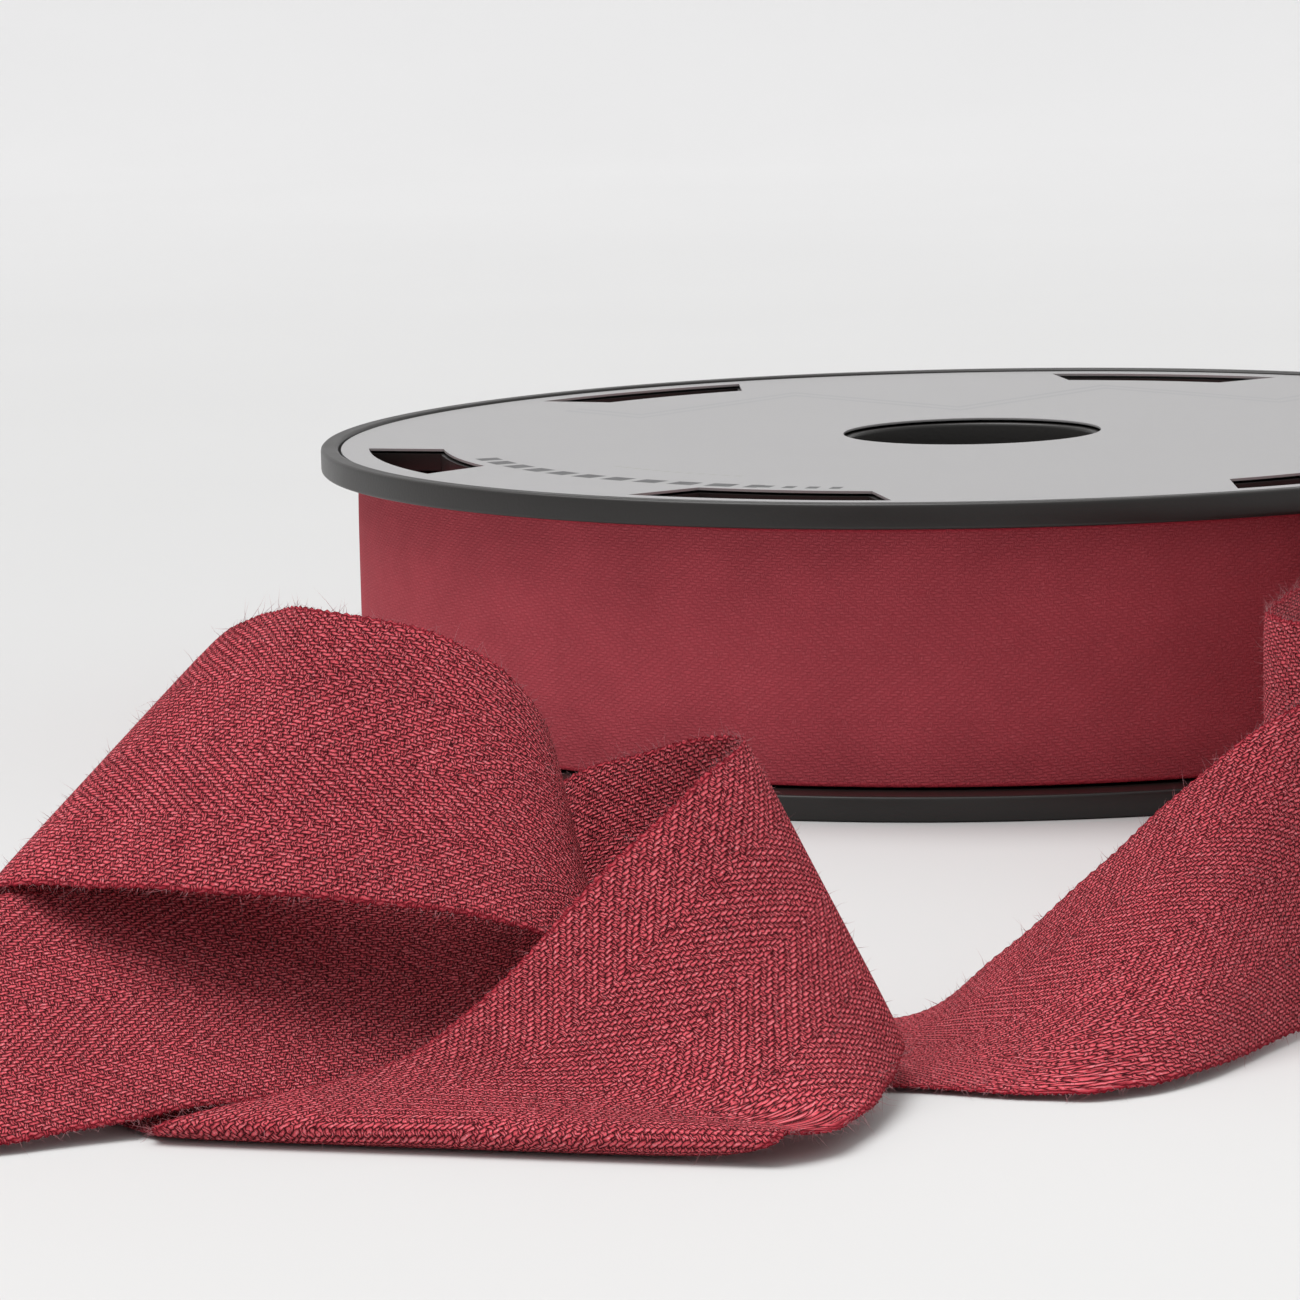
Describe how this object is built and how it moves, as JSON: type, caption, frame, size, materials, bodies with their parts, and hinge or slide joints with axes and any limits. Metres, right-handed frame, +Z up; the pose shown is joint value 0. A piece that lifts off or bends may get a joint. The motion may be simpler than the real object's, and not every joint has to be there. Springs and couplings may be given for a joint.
{
  "type": "reel of herringbone tape",
  "caption": "Flat plastic reel wound with herringbone cotton tape, its loose end pulled off, twisted and folded over itself on the table in front.",
  "frame": {"origin": "on the table, under the middle of the whole part's box", "axes": "+Z up along the reel's spindle, +Y from the loose folds towards the reel, +X to the right when seen from the loose folds"},
  "size_m": [0.2302, 0.3396, 0.0427],
  "materials": {
    "reel_plastic": "fine moulded matte",
    "label_paper": "silver-grey satin paper",
    "wound_cotton": "matte herringbone weave",
    "loose_cotton": "matte herringbone weave"
  },
  "bodies": {
    "loose_tape": {"tape_cut_end": "loose_cotton", "tape_lower_sheet": "loose_cotton", "tape_crown_turn": "loose_cotton", "tape_crown": "loose_cotton", "tape_left_fold": "loose_cotton", "tape_rise": "loose_cotton", "tape_under_run": "loose_cotton", "tape_front_roll": "loose_cotton", "tape_front_sheet": "loose_cotton", "tape_right_bend": "loose_cotton", "tape_back_sheet": "loose_cotton", "tape_hairpin": "loose_cotton", "tape_flat_run": "loose_cotton", "tape_rising_run": "loose_cotton", "tape_upright_run": "loose_cotton", "tape_first_curl": "loose_cotton", "tape_second_curl": "loose_cotton", "tape_approach": "loose_cotton", "tape_outer_turn": "loose_cotton"},
    "reel": {"bottom_flange": "reel_plastic", "top_flange": "reel_plastic", "hub_tube": "reel_plastic", "top_label": "label_paper", "wound_tape": "wound_cotton"}
  },
  "joints": [
    {"name": "reel_spin", "type": "hinge", "parent": "loose_tape", "child": "reel", "pos_m": [0.03262, 0.0873, 0], "axis": [0, 0, 1], "continuous": true}
  ]
}
